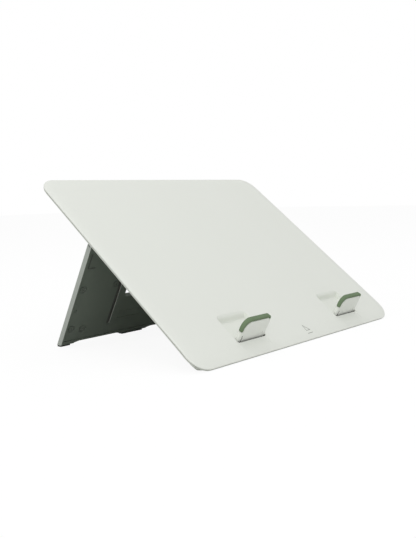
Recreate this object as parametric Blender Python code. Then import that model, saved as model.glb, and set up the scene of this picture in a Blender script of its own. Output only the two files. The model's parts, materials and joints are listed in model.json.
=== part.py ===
"""A portable drawing board: a thin sloping board on a wide folding leg, with two flip-up stops.

Lengths are in millimetres until a mesh is finished, and MM then turns them into metres.
Three local frames are used:
  board frame  x to the right, y up the slope from the front edge, z square to the writing surface (z = 0)
  leg frame    origin on the leg's hinge axis, x to the right, y to the rear of the leg, z up along the leg
  tab frame    origin on the stop's hinge axis, x to the right, y to the stop's back, z up along it
"""

import math

import bmesh
import bpy

MM = 0.001
GAP = 0.3                       # running clearance between neighbouring pieces
ROUND = 12                      # sides of a small round shape
CUTTER_PAST = 2.0               # how far a cutter runs past the face it opens

# Board
TILT = math.radians(38.0)
BOARD_WIDTH = 340.0
BOARD_DEPTH = 270.0
CORNER = 19.0
SHELL_WALL = 2.0                # the top's thickness
COVER_WALL = 1.5
COVER_TOP = -(SHELL_WALL + GAP)
CEILING = COVER_TOP - COVER_WALL     # underside of the board over the folded leg, and of the lip
COVER_INSET = 0.4
SHELL_RIM = 0.9                 # rounding of the top's edge
COVER_RIM = 0.8
ROLL_FROM = 28.0                # the front edge rolls down from here
ROLL_DROP = 1.6
ROLL_STRIPS = 5

# Leg and its hinge
LEG_WALL = 1.8
LEG_THICK = 6.0
LEG_HALF = LEG_THICK / 2
LEG_LEAN = math.radians(28.25)  # from vertical, foot to the rear
LEG_SIDE = 4.5                  # from the board's side to the leg's side
EAR_EDGE = 71.0                 # from the board's side to the opening between the ears
RIB_EDGE = 61.0                 # the rib along that opening starts here
HINGE_Y = 173.2
HINGE_Z = CEILING - GAP - LEG_HALF
PIN_RADIUS = 1.5
WASHER_THICK = 1.0
KNUCKLE_OUTER = (20.5, 31.5)    # the two brackets of a side, from the board's side
KNUCKLE_INNER = (EAR_EDGE + 2 * GAP + WASHER_THICK, 82.0)
LEG_FLOOR = HINGE_Z - LEG_HALF  # underside of both hollow blocks, level with the folded leg
BRACKET_FOOT = 1.8              # thickness of a bracket's foot
BRACKET_REACH = 14.0            # from the pin to the foot's rear end
BRACKET_SCREW = 9.0             # from the pin to the bracket's screw
BARREL_ROOM = 6.0               # half height of the leg's notches for the brackets
BARREL_EASE = 0.2              # the leg's barrel stands this far inside its plate's faces

# Front and inside of the leg: heights are above the floor, with the board standing
WEB_TOP = 53.0
WEB_RIM = 2.0
PANEL_LOW = 7.0
PANEL_STRIP = 18.6              # top of the low strip that joins the two ears under the ribs
PANEL_TOP = 7.5                 # below the hinge axis
PANEL_SET_BACK = 0.9            # from the leg's front face to the panel's
PANEL_THICK = 1.6
WEB_STEPS = ((25.3, 0.7), (33.0, 1.3))   # where the web's panel steps back, and how far
RING_RADIUS = 4.4
RING_DEEP = 0.5
PEG_RADIUS = 1.4

# Hollow blocks of the bottom cover, before and behind the folded leg
BLOCK_SIDE = 9.0                # from the board's side
TAPER_START = 1.6
FRONT_BLOCK_END = 52.6
REAR_BLOCK_END = 264.0
REAR_TAPER = 6.0
NOTCH_END = 188.0
NOTCH_STEP = 177.5
NOTCH_CEILING = -6.5
FLANGE = 5.0                    # the cover's front flange, where no hollow reaches

# Stops
FRONT_CENTRE = 6.0              # both stops and the mark are centred a little right of the board's middle
TAB_SPACING = 170.0
TAB_WIDTH = 40.0
TAB_LEAN = math.radians(10.0)   # from the board's normal, when it stands
TAB_AXIS_Y = 21.9
TAB_BARREL = 2.6
TAB_AXIS_Z = -TAB_BARREL
TAB_TOP = 23.6
TAB_CORNER = 11.0               # the upper left corner
TAB_CORNER_RIGHT = 3.5
TAB_PIN = 1.0
TAB_BACK_LOW = 0.45             # distance of the back face from the axis plane, above the barrel
TAB_BACK_HIGH = 2.4             # the same at the top edge
RUBBER_BAND = 2.6               # width of the soft edging, seen from the front
RUBBER_START = 11
RUBBER_END = 19.6
SLIT_IN = 4.0                   # the slits that part the stop's face from its end knuckles
SLIT_WIDTH = 0.9
SLIT_DEEP = 1.0
SLIT_TOP = 6.2
LUG_RADIUS = 3.6
LUG_ANGLES = (197.0, 234.5)     # about the axis, from the tab's upward direction towards its front
TROUGH_END = 319.0              # the ledge that stops the lug, about the axis in the board's own plane
POCKET_HALF = 21.0
POCKET_DEEP = -5.6
POCKET_FLOOR_END = 47.0
POCKET_END = 52.5
POCKET_WALL_TOP = (50.0, -1.1)    # the end wall softens into the surface from here
TUB_SIDE = 2.2
SCOOP_FROM = 5.0
SCOOP_DEPTH = 0.8

# Feet
FOOT_PROUD = 0.6
FRONT_FOOT = (100.0, 150.0)     # from the board's middle
LEG_FOOT_RISE = 1.5             # the leg shell stands this far above the floor
LEG_FEET = ((5.1, 16.5), (88.0, 118.0))
ARCH = 3.5
ARCHES = ((18.0, 86.5), (120.0, 170.0))

# Fasteners
SCREW_RADIUS = 1.25
HEAD_RADIUS = 3.0
COVER_SCREWS = ((-145, 42), (6, 42), (145, 42), (-60, 200), (60, 200), (-145, 246), (0, 246), (145, 246))
LEG_SCREWS = ((11.6, 69.3), (11.6, 22.2), (26.5, 20.2), (54.0, 71.0))   # from the side, above the floor
LEG_PEG = (10.2, 43.9)
BOSS_RADIUS = 3.5


# ---------------------------------------------------------------- meshes

def arc(centre, radius, start, end, steps):
    """Points on a circle, angles in degrees."""
    angles = [math.radians(start + (end - start) * i / steps) for i in range(steps + 1)]
    return [(centre[0] + radius * math.cos(a), centre[1] + radius * math.sin(a)) for a in angles]


def rounded(corners, steps=6):
    """A polygon from corners (x, y, radius), each turned into an arc that touches both of its sides."""
    points = []
    for i, (x, y, radius) in enumerate(corners):
        if not radius:
            points.append((x, y))
            continue
        before, after = corners[i - 1], corners[(i + 1) % len(corners)]
        to_before = math.atan2(before[1] - y, before[0] - x)
        to_after = math.atan2(after[1] - y, after[0] - x)
        half = ((to_after - to_before + math.pi) % (2 * math.pi) - math.pi) / 2
        reach = radius / math.sin(abs(half))
        middle = to_before + half
        centre = (x + reach * math.cos(middle), y + reach * math.sin(middle))
        turn = math.degrees(math.pi / 2 - abs(half))
        facing = math.degrees(middle) + 180
        sign = 1 if half > 0 else -1
        points += arc(centre, radius, facing + sign * turn, facing - sign * turn, steps)
    return points


def prism(bm, axis, outline, low, high):
    """Extrudes an outline along an axis. Its points are the other two coordinates, in x, y, z order."""
    order = {"X": (1, 2), "Y": (0, 2), "Z": (0, 1)}[axis]
    along = "XYZ".index(axis)
    ends = []
    for level in (low, high):
        ring = []
        for point in outline:
            place = [0.0, 0.0, 0.0]
            place[along] = level
            place[order[0]], place[order[1]] = point
            ring.append(bm.verts.new(place))
        ends.append(ring)
    bottom, top = ends
    bm.faces.new(bottom)
    bm.faces.new(top)
    for i in range(len(outline)):
        bm.faces.new((bottom[i - 1], bottom[i], top[i], top[i - 1]))


def box(bm, low, high):
    outline = [(low[0], low[1]), (high[0], low[1]), (high[0], high[1]), (low[0], high[1])]
    prism(bm, "Z", outline, low[2], high[2])


def rod(bm, axis, centre, radius, low, high, sides=ROUND):
    prism(bm, axis, arc(centre, radius, 0, 360 - 360 / sides, sides - 1), low, high)


def turned(bm, profile, closed=False, sides=ROUND):
    """Turns (radius, height) points about z. A closed profile makes a ring; an open one gets flat ends."""
    rings = []
    for radius, height in profile:
        circle = arc((0, 0), radius, 0, 360 - 360 / sides, sides - 1)
        rings.append([bm.verts.new((x, y, height)) for x, y in circle])
    if closed:
        pairs = list(zip(rings, rings[1:] + rings[:1]))
    else:
        pairs = list(zip(rings, rings[1:]))
        bm.faces.new(rings[0])
        bm.faces.new(rings[-1])
    for lower, upper in pairs:
        for i in range(sides):
            bm.faces.new((lower[i - 1], lower[i], upper[i], upper[i - 1]))


def made(name, bm, parent, colour=None):
    """Finishes a bmesh as an object, in metres, with smooth shading between sharp edges."""
    bmesh.ops.recalc_face_normals(bm, faces=bm.faces)
    bmesh.ops.scale(bm, vec=(MM, MM, MM), verts=bm.verts)
    mesh = bpy.data.meshes.new(name)
    bm.to_mesh(mesh)
    bm.free()
    mesh.shade_smooth()
    mesh.set_sharp_from_angle(angle=math.radians(35))
    piece = bpy.data.objects.new(name, mesh)
    bpy.context.scene.collection.objects.link(piece)
    piece.parent = parent
    if colour:
        mesh.materials.append(colour)
    return piece


def shape(name, bm, target, operation):
    """Adds, cuts or keeps a shape on a piece with a live Boolean."""
    tool = made(f"{target.name}_{name}", bm, target.parent)
    tool.hide_render = True
    tool.display_type = "WIRE"
    modifier = target.modifiers.new(name, "BOOLEAN")
    modifier.operation = operation
    modifier.object = tool
    return tool


def empty(name, parent, place, turn):
    frame = bpy.data.objects.new(name, None)
    frame.empty_display_size = 20 * MM
    bpy.context.scene.collection.objects.link(frame)
    frame.parent = parent
    frame.location = [value * MM for value in place]
    frame.rotation_euler = (turn, 0, 0)
    return frame


def finish(name, colour, roughness, metallic=0.0):
    """A Principled material of one colour, given in linear light."""
    material = bpy.data.materials.new(name)
    material.use_nodes = True
    shader = material.node_tree.nodes["Principled BSDF"]
    shader.inputs["Base Color"].default_value = (*colour, 1.0)
    shader.inputs["Roughness"].default_value = roughness
    shader.inputs["Metallic"].default_value = metallic
    material.diffuse_color = (*colour, 1.0)
    return material


# ---------------------------------------------------------------- shared geometry

def roll(y):
    """How far the front edge has rolled down at this distance up the slope."""
    return ROLL_DROP * max(0.0, 1 - y / ROLL_FROM) ** 2


def inward(side, near, far):
    """The x range between two distances from the board's left (-1) or right (1) edge."""
    ends = (side * (BOARD_WIDTH / 2 - near), side * (BOARD_WIDTH / 2 - far))
    return min(ends), max(ends)


def taper_point(along, inside):
    """A point on the flat under the front edge, which lies level when the board stands on its leg."""
    start = (TAPER_START, CEILING - roll(TAPER_START))
    return (start[0] + along * math.cos(TILT) + inside * math.sin(TILT),
            start[1] - along * math.sin(TILT) + inside * math.cos(TILT))


def taper_length(inside, floor):
    """How far the flat runs before it meets a level of the block, given in the board frame."""
    return (taper_point(0, inside)[1] - floor) / math.sin(TILT)


def axis_height():
    """Height of the leg's hinge axis over the floor."""
    foot = taper_point(0, -FOOT_PROUD)
    return (HINGE_Y - foot[0]) * math.sin(TILT) + (HINGE_Z - foot[1]) * math.cos(TILT)


LEG_LENGTH = axis_height() / math.cos(LEG_LEAN)


def leg_z(above_floor):
    """Leg frame height of a point this far up the leg from the floor."""
    return above_floor - LEG_LENGTH


def leg_level(height, y):
    """Leg frame height at which the plane at this height over the floor passes y."""
    return (height - axis_height() - y * math.sin(LEG_LEAN)) / math.cos(LEG_LEAN)


def plate(bm, inset, low, high, rim, rim_side):
    """A flat plate whose upper (1) or lower (-1) edge is rounded, and whose front rolls down."""
    edge, square = (high, low) if rim_side > 0 else (low, high)
    half = math.sqrt(0.5)
    levels = [(0.0, square), (0.0, edge - rim_side * rim)]
    levels += [(rim * (1 - half), edge - rim_side * rim * (1 - half)), (rim, edge)]
    rings = []
    for inner, level in levels:
        rings.append([bm.verts.new((x, y, level)) for x, y in board_outline(inset + inner)])
    bm.faces.new(rings[0])
    bm.faces.new(rings[-1])
    for lower, upper in zip(rings, rings[1:]):
        for i in range(len(lower)):
            bm.faces.new((lower[i - 1], lower[i], upper[i], upper[i - 1]))
    bmesh.ops.recalc_face_normals(bm, faces=bm.faces)
    for i in range(1, ROLL_STRIPS + 1):
        cut = (0, ROLL_FROM * i / ROLL_STRIPS, 0)
        everything = bm.verts[:] + bm.edges[:] + bm.faces[:]
        bmesh.ops.bisect_plane(bm, geom=everything, plane_co=cut, plane_no=(0, 1, 0))
    for vertex in bm.verts:
        vertex.co.z -= roll(vertex.co.y)
    bmesh.ops.triangulate(bm, faces=bm.faces)


def board_outline(inset):
    half = BOARD_WIDTH / 2 - inset
    radius = CORNER - inset
    far = BOARD_DEPTH - inset
    near_corners = [(-half, inset, radius), (half, inset, radius)]
    return rounded(near_corners + [(half, far, radius), (-half, far, radius)], 6)


# ---------------------------------------------------------------- top shell

def tab_centres():
    return {"left": FRONT_CENTRE - TAB_SPACING / 2, "right": FRONT_CENTRE + TAB_SPACING / 2}


def pocket_section():
    """Side view of a pocket: a trough round the barrel and its lug, a falling floor, and a rising end."""
    axis = (TAB_AXIS_Y, TAB_AXIS_Z)
    trough = LUG_RADIUS + GAP
    points = [(TAB_AXIS_Y - trough, CUTTER_PAST)]
    points += arc(axis, trough, 180, TROUGH_END, 9)
    points += arc(axis, TAB_BARREL + GAP, TROUGH_END, 345, 2)
    points += [(POCKET_FLOOR_END, POCKET_DEEP)]
    points += [(POCKET_FLOOR_END + 1.2, POCKET_DEEP + 0.6), POCKET_WALL_TOP, (POCKET_END, -0.2)]
    points += [(POCKET_END + 0.6, 0.4)]
    points += [(POCKET_END + 0.6, CUTTER_PAST)]
    return points


def scoop_section():
    """Side view of the scoop before a stop: nothing near the front edge, deepest at the hinge."""
    wall = TAB_AXIS_Y - LUG_RADIUS - GAP
    steps = 5
    points = [(SCOOP_FROM, CUTTER_PAST)]
    for i in range(steps + 1):
        share = i / steps
        y = SCOOP_FROM + (wall + GAP - SCOOP_FROM) * share
        points.append((y, 0.1 * (1 - share) - roll(y) - SCOOP_DEPTH * share ** 1.5))
    points.append((wall + GAP, CUTTER_PAST))
    return points


def tub_blocks(bm, centre):
    """The solid that each pocket and scoop is cut from, under the shell."""
    half = POCKET_HALF + TUB_SIDE
    floor = TAB_AXIS_Z - LUG_RADIUS - GAP - 1.2
    front = TAB_AXIS_Y - LUG_RADIUS - GAP - 1.2
    outline = [(SCOOP_FROM + 1, -1.2), (SCOOP_FROM + 1, -3.9), (front, -4.6), (front, floor)]
    far = POCKET_WALL_TOP[0] + 0.7
    outline += [(POCKET_FLOOR_END - 10, floor), (POCKET_FLOOR_END + 0.5, floor + 0.5)]
    outline += [(far, -2.2), (far, -1.2)]
    prism(bm, "X", outline, centre - half, centre + half)


def pocket_plan(centre):
    half = POCKET_HALF
    far = POCKET_END + 0.6
    near_corners = [(centre - half, 12, 0), (centre + half, 12, 0)]
    return rounded(near_corners + [(centre + half, far, 6), (centre - half, far, 6)])


def screw_bosses(bm):
    for x, y in COVER_SCREWS:
        rod(bm, "Z", (x, y), BOSS_RADIUS, LEG_FLOOR + 2 * COVER_WALL + GAP, -1.0)


def top_shell(board, pale):
    bm = bmesh.new()
    plate(bm, 0.0, -SHELL_WALL, 0.0, SHELL_RIM, 1)
    shell = made("top_shell", bm, board, pale)
    added = bmesh.new()
    for centre in tab_centres().values():
        tub_blocks(added, centre)
    screw_bosses(added)
    shape("tubs_and_bosses", added, shell, "UNION")
    for side, centre in tab_centres().items():
        cutter = bmesh.new()
        prism(cutter, "X", pocket_section(), centre - POCKET_HALF - 1, centre + POCKET_HALF + 1)
        pocket = shape(f"pocket_{side}", cutter, shell, "DIFFERENCE")
        plan = bmesh.new()
        prism(plan, "Z", pocket_plan(centre), -15.0, 5.0)
        shape("plan", plan, pocket, "INTERSECT")
        scoop = bmesh.new()
        prism(scoop, "X", scoop_section(), centre - TAB_WIDTH / 2, centre + TAB_WIDTH / 2)
        shape(f"scoop_{side}", scoop, shell, "DIFFERENCE")
    holes = bmesh.new()
    for x, y in COVER_SCREWS:
        rod(holes, "Z", (x, y), SCREW_RADIUS + GAP, LEG_FLOOR, -3.7)
    for centre in tab_centres().values():
        reach = POCKET_HALF + TUB_SIDE - 0.9
        rod(holes, "X", (TAB_AXIS_Y, TAB_AXIS_Z), TAB_PIN + GAP, centre - reach, centre + reach)
    shape("holes", holes, shell, "DIFFERENCE")
    return shell


# ---------------------------------------------------------------- bottom cover

def front_block(bm, wall):
    """The hollow block under the front. With a wall it is the space inside, open at the top."""
    floor = LEG_FLOOR + wall
    half = BOARD_WIDTH / 2 - BLOCK_SIDE - wall
    end = FRONT_BLOCK_END - wall
    lower = taper_point(taper_length(wall, floor), wall)
    if wall:
        along = (FLANGE - taper_point(0, wall)[0]) / math.cos(TILT)
        outline = [(FLANGE, CUTTER_PAST), taper_point(along, wall), lower, (end, floor), (end, CUTTER_PAST)]
    else:
        top = [(y, COVER_TOP - 0.7 - roll(y)) for y in (end, ROLL_FROM, 18.0, 9.0, TAPER_START)]
        outline = [taper_point(0, 0.05), lower, (end, floor)] + top
    prism(bm, "X", outline, -half, half)


def block_plan(wall):
    """Both blocks from above: they keep inside the board's rounded corners."""
    half = BOARD_WIDTH / 2 - BLOCK_SIDE - wall
    near, far = TAPER_START - 0.6 + wall, REAR_BLOCK_END + 1 - wall
    radius = 14.0 - wall
    near_corners = [(-half, near, radius), (half, near, radius)]
    return rounded(near_corners + [(half, far, radius), (-half, far, radius)], 4)


def stop_face(z):
    """y of the rear block's front wall, which the leg's rear face meets when it is open."""
    lean = TILT - LEG_LEAN
    clear = LEG_HALF + GAP
    return HINGE_Y + clear / math.cos(lean) + (z - HINGE_Z) * math.tan(lean)


def rear_block(bm, wall, x_low, x_high, from_y=None):
    floor = LEG_FLOOR + wall
    top = CUTTER_PAST if wall else COVER_TOP - 0.7
    start = [(stop_face(top) + wall, top), (stop_face(floor) + wall, floor)]
    if from_y:
        start = [(from_y, top), (from_y, floor)]
    end = REAR_BLOCK_END - wall
    outline = start + [(end - REAR_TAPER, floor), (end, COVER_TOP - 0.7)]
    if wall:
        outline.append((end, top))
    prism(bm, "X", outline, x_low, x_high)


def notch_ranges():
    """x ranges of the four bracket notches, left to right."""
    spans = []
    for near, far in (KNUCKLE_OUTER, KNUCKLE_INNER):
        for side in (-1, 1):
            spans.append(inward(side, near - GAP, far + GAP))
    return sorted(spans)


def rear_block_bay(bm, x_low, x_high, behind):
    """The hollow between two notches, up to the hollow behind them."""
    floor = LEG_FLOOR + COVER_WALL
    top = CUTTER_PAST
    outline = [(stop_face(top) + COVER_WALL, top), (stop_face(floor) + COVER_WALL, floor),
               (behind, floor), (behind, top)]
    prism(bm, "X", outline, x_low, x_high)


def bottom_cover(board, pale):
    bm = bmesh.new()
    plate(bm, COVER_INSET, CEILING, COVER_TOP, COVER_RIM, -1)
    cover = made("bottom_cover", bm, board, pale)
    half = BOARD_WIDTH / 2 - BLOCK_SIDE
    blocks = bmesh.new()
    front_block(blocks, 0)
    rear_block(blocks, 0, -half, half)
    blocks = shape("blocks", blocks, cover, "UNION")
    plan = bmesh.new()
    prism(plan, "Z", block_plan(0), -20.0, 10.0)
    shape("plan", plan, blocks, "INTERSECT")
    hollow = bmesh.new()
    front_block(hollow, COVER_WALL)
    behind = NOTCH_END + COVER_WALL
    rear_block(hollow, COVER_WALL, -half + COVER_WALL, half - COVER_WALL, behind)
    hollow = shape("hollow", hollow, cover, "DIFFERENCE")
    plan = bmesh.new()
    prism(plan, "Z", block_plan(COVER_WALL), -20.0, 10.0)
    shape("plan", plan, hollow, "INTERSECT")
    bays = bmesh.new()
    low = -half + COVER_WALL
    for start, end in notch_ranges() + [(half, 0)]:
        rear_block_bay(bays, low, start - COVER_WALL, behind + 0.5)
        low = end + COVER_WALL
    shape("rear_bays", bays, cover, "DIFFERENCE")
    notches = bmesh.new()
    for x_low, x_high in notch_ranges():
        prism(notches, "X", [(HINGE_Y - 4, CEILING), (NOTCH_STEP, CEILING), (NOTCH_STEP, NOTCH_CEILING),
                             (NOTCH_END, NOTCH_CEILING), (NOTCH_END, LEG_FLOOR - CUTTER_PAST),
                             (HINGE_Y - 4, LEG_FLOOR - CUTTER_PAST)], x_low, x_high)
    shape("notches", notches, cover, "DIFFERENCE")
    cups = bmesh.new()
    for place in COVER_SCREWS:
        rod(cups, "Z", place, HEAD_RADIUS + 1.6, LEG_FLOOR + 0.8, LEG_FLOOR + 2 * COVER_WALL)
    shape("screw_cups", cups, cover, "UNION")
    counterbores = bmesh.new()
    for x, y in COVER_SCREWS:
        rod(counterbores, "Z", (x, y), HEAD_RADIUS + GAP, LEG_FLOOR - CUTTER_PAST, LEG_FLOOR + 1.7)
    shape("counterbores", counterbores, cover, "DIFFERENCE")
    holes = bmesh.new()
    for x, y in COVER_SCREWS:
        rod(holes, "Z", (x, y), SCREW_RADIUS + GAP, LEG_FLOOR, LEG_FLOOR + 5)
    for x, y in bracket_screw_places():
        rod(holes, "Z", (x, y), SCREW_RADIUS + GAP, LEG_FLOOR, COVER_TOP - 0.8)
    for side in (-1, 1):
        groove = [taper_point(1.7, 0.6), taper_point(7.8, 0.6), taper_point(7.8, -2), taper_point(1.7, -2)]
        ends = sorted((side * (FRONT_FOOT[0] - GAP), side * (FRONT_FOOT[1] + GAP)))
        prism(holes, "X", groove, *ends)
    shape("holes", holes, cover, "DIFFERENCE")
    return cover


def front_feet(board, rubber):
    for side, name in ((-1, "left"), (1, "right")):
        bm = bmesh.new()
        strip = [taper_point(2.0, 0.3), taper_point(7.5, 0.3), taper_point(7.5, -FOOT_PROUD),
                 taper_point(2.0, -FOOT_PROUD)]
        prism(bm, "X", strip, *sorted((side * FRONT_FOOT[0], side * FRONT_FOOT[1])))
        made(f"front_foot_{name}", bm, board, rubber)


# ---------------------------------------------------------------- leg hinge

def bracket_spans():
    return {
        "left_outer": inward(-1, *KNUCKLE_OUTER),
        "left_inner": inward(-1, *KNUCKLE_INNER),
        "right_inner": inward(1, *KNUCKLE_INNER),
        "right_outer": inward(1, *KNUCKLE_OUTER),
    }


def bracket_screw_places():
    return [((low + high) / 2, HINGE_Y + BRACKET_SCREW) for low, high in bracket_spans().values()]


def brackets(board, grey):
    """A knuckle round the pin with a foot behind it, screwed up into the cover's pad."""
    foot_top = NOTCH_CEILING - GAP - HINGE_Z
    foot_low = foot_top - BRACKET_FOOT
    top_angle = math.degrees(math.asin(foot_top / LEG_HALF))
    low_angle = math.degrees(math.asin(foot_low / LEG_HALF))
    for name, (low, high) in bracket_spans().items():
        bm = bmesh.new()
        outline = arc((0, 0), LEG_HALF, top_angle, 360 + low_angle, 12)
        outline += [(BRACKET_REACH, foot_low), (BRACKET_REACH, foot_top)]
        prism(bm, "X", [(HINGE_Y + y, HINGE_Z + z) for y, z in outline], low, high)
        bracket = made(f"hinge_bracket_{name}", bm, board, grey)
        bore = bmesh.new()
        rod(bore, "X", (HINGE_Y, HINGE_Z), PIN_RADIUS + GAP, low - 1, high + 1)
        shape("pin_bore", bore, bracket, "DIFFERENCE")
        hole = bmesh.new()
        place = ((low + high) / 2, HINGE_Y + BRACKET_SCREW)
        rod(hole, "Z", place, SCREW_RADIUS + GAP, HINGE_Z - 5, HINGE_Z + 5)
        shape("screw_hole", hole, bracket, "DIFFERENCE")


def screw(name, parent, place, turn, head_at, head_height, tip_at, steel):
    """A pan-head screw along z, head down."""
    bm = bmesh.new()
    soft = 0.35
    head_top = head_at + head_height
    turned(bm, [(HEAD_RADIUS - soft, head_at), (HEAD_RADIUS, head_at + soft), (HEAD_RADIUS, head_top),
                (SCREW_RADIUS, head_top), (SCREW_RADIUS, tip_at)], sides=10)
    piece = made(name, bm, parent, steel)
    piece.location = [value * MM for value in place]
    piece.rotation_euler = (turn, 0, 0)


def leg_pins(board, steel, brass):
    for side, name in ((-1, "left"), (1, "right")):
        start, end = sorted(inward(side, LEG_SIDE + 0.6, KNUCKLE_INNER[1] - 0.4))
        pin = bmesh.new()
        rod(pin, "X", (HINGE_Y, HINGE_Z), PIN_RADIUS, start, end, 16)
        made(f"leg_hinge_pin_{name}", pin, board, steel)
        low, high = inward(side, EAR_EDGE + GAP, EAR_EDGE + GAP + WASHER_THICK)
        ring = bmesh.new()
        inner, outer = PIN_RADIUS + GAP, LEG_HALF - 0.2
        turned(ring, [(inner, low), (outer, low), (outer, high), (inner, high)], closed=True)
        washer = made(f"leg_friction_washer_{name}", ring, board, brass)
        washer.location = (0, HINGE_Y * MM, HINGE_Z * MM)
        washer.rotation_euler = (0, math.pi / 2, 0)


# ---------------------------------------------------------------- leg

def leg_plate(bm):
    """Front view of the leg: two ears joined by a web, with the opening between the ears."""
    out = BOARD_WIDTH / 2 - LEG_SIDE
    ear = BOARD_WIDTH / 2 - EAR_EDGE
    low = leg_z(-4.0)
    web = leg_z(WEB_TOP)
    outline = rounded([(-out, low, 0), (out, low, 0), (out, 0, 0), (ear, 0, 0), (ear, web, 5),
                       (-ear, web, 5), (-ear, 0, 0), (-out, 0, 0)], 4)
    prism(bm, "Y", outline, -LEG_HALF, LEG_HALF)
    level = (0, 0, leg_level(LEG_FOOT_RISE, 0))
    across = (0, math.sin(LEG_LEAN), math.cos(LEG_LEAN))
    geometry = bm.verts[:] + bm.edges[:] + bm.faces[:]
    cut = bmesh.ops.bisect_plane(bm, geom=geometry, plane_co=level, plane_no=across, clear_inner=True)
    bmesh.ops.contextual_create(bm, geom=[e for e in cut["geom_cut"] if isinstance(e, bmesh.types.BMEdge)])


def leg_hollow(clear):
    """The space the inner panel fills: a low strip, the field of each ear, and the web between the ribs."""
    low = leg_z(PANEL_LOW) + clear
    out = BOARD_WIDTH / 2 - LEG_SIDE - LEG_WALL - clear
    rib = BOARD_WIDTH / 2 - RIB_EDGE + clear
    ear = BOARD_WIDTH / 2 - EAR_EDGE - clear
    top = -PANEL_TOP - clear
    web = leg_z(WEB_TOP - WEB_RIM) - clear
    strip = leg_z(PANEL_STRIP) - clear
    return [(-out, low), (out, low), (out, top), (rib, top), (rib, strip), (ear, strip), (ear, web),
            (-ear, web), (-ear, strip), (-rib, strip), (-rib, top), (-out, top)]


def leg_screw_places():
    return [(side * (BOARD_WIDTH / 2 - near), leg_z(up)) for side in (-1, 1) for near, up in LEG_SCREWS]


def leg_peg_places():
    return [(side * (BOARD_WIDTH / 2 - LEG_PEG[0]), leg_z(LEG_PEG[1])) for side in (-1, 1)]


def leg_shell(leg, pale):
    bm = bmesh.new()
    leg_plate(bm)
    shell = made("leg_shell", bm, leg, pale)
    barrels = bmesh.new()
    for side in (-1, 1):
        low, high = inward(side, LEG_SIDE + BARREL_EASE, EAR_EDGE - BARREL_EASE)
        rod(barrels, "X", (0, 0), LEG_HALF - BARREL_EASE, low, high, 20)
    shape("barrels", barrels, shell, "UNION")
    hollow = bmesh.new()
    prism(hollow, "Y", leg_hollow(0.0), -LEG_HALF - CUTTER_PAST, LEG_HALF - LEG_WALL)
    shape("hollow", hollow, shell, "DIFFERENCE")
    cuts = bmesh.new()
    for side in (-1, 1):
        low, high = inward(side, KNUCKLE_OUTER[0] - GAP, KNUCKLE_OUTER[1] + GAP)
        box(cuts, (low, -BARREL_ROOM, -LEG_HALF - 1), (high, BARREL_ROOM, BARREL_ROOM))
    for side in (-1, 1):
        low, high = inward(side, *ARCHES[0])
        arch(cuts, low, high)
    arch(cuts, *inward(-1, ARCHES[1][0], BOARD_WIDTH - ARCHES[1][0]))
    shape("notches_and_arches", cuts, shell, "DIFFERENCE")
    bore = bmesh.new()
    for side in (-1, 1):
        rod(bore, "X", (0, 0), PIN_RADIUS + GAP, *inward(side, 0, EAR_EDGE + 2))
    shape("pin_bores", bore, shell, "DIFFERENCE")
    bosses = bmesh.new()
    panel_back = -LEG_HALF + PANEL_SET_BACK + PANEL_THICK
    for place in leg_screw_places():
        rod(bosses, "Y", place, BOSS_RADIUS - 0.4, panel_back + GAP, LEG_HALF - 1)
    for place in leg_peg_places():
        rod(bosses, "Y", place, PEG_RADIUS, panel_back - 1.2, LEG_HALF - 1)
    shape("bosses", bosses, shell, "UNION")
    holes = bmesh.new()
    for place in leg_screw_places():
        rod(holes, "Y", place, SCREW_RADIUS + GAP, panel_back - 1, LEG_HALF - 1.2)
    shape("screw_holes", holes, shell, "DIFFERENCE")
    return shell


def arch(bm, low, high):
    """A long shallow arch in the leg's lower edge."""
    rise = leg_level(LEG_FOOT_RISE, 0) + ARCH
    ease = 9.0
    outline = [(low, rise - ARCH - 4), (high, rise - ARCH - 4), (high, rise - ARCH)]
    outline += [(high - ease / 3, rise - 1.2), (high - ease, rise), (low + ease, rise)]
    outline += [(low + ease / 3, rise - 1.2), (low, rise - ARCH)]
    prism(bm, "Y", outline, -6, 6)


def leg_panel(leg, dark):
    """The inner panel. The field of each ear is flat, and the web falls back in two steps."""
    front = -LEG_HALF + PANEL_SET_BACK
    thick = PANEL_THICK
    bm = bmesh.new()
    prism(bm, "Y", leg_hollow(GAP), front, LEG_HALF)
    panel = made("leg_inner_panel", bm, leg, dark)
    ear = BOARD_WIDTH / 2 - EAR_EDGE + GAP
    near, far = [(front, leg_z(0))], []
    level = 0.0
    for up, back in WEB_STEPS:
        near += [(front + level, leg_z(up)), (front + back, leg_z(up))]
        far += [(front + thick + level, leg_z(up) - thick), (front + thick + back, leg_z(up) - thick)]
        level = back
    near += [(front + level, 0.0), (front + thick + level, 0.0)]
    keep = bmesh.new()
    prism(keep, "X", near + far[::-1] + [(front + thick, leg_z(0))], -ear + 0.1, ear - 0.1)
    shape("steps", keep, panel, "INTERSECT")
    sides = bmesh.new()
    corners = leg_hollow(GAP)
    bottom, top, strip = corners[1][1], corners[2][1], corners[4][1]
    outer, rib = corners[1][0], corners[3][0]
    for side in (-1, 1):
        outline = [(ear - 2, bottom), (outer, bottom), (outer, top)]
        outline += [(rib, top), (rib, strip), (ear - 2, strip)]
        prism(sides, "Y", [(side * x, z) for x, z in outline], front, front + thick)
    shape("ears", sides, panel, "UNION")
    holes = bmesh.new()
    for place in leg_screw_places():
        rod(holes, "Y", place, SCREW_RADIUS + GAP, front + 0.2, front + 3)
    for place in leg_peg_places():
        rod(holes, "Y", place, PEG_RADIUS + GAP, front - 1, front + 3)
    shape("holes", holes, panel, "DIFFERENCE")
    rings = bmesh.new()
    for place in leg_screw_places():
        rod(rings, "Y", place, RING_RADIUS, front - 1, front + RING_DEEP, 16)
    shape("screw_rings", rings, panel, "DIFFERENCE")
    return panel


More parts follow.
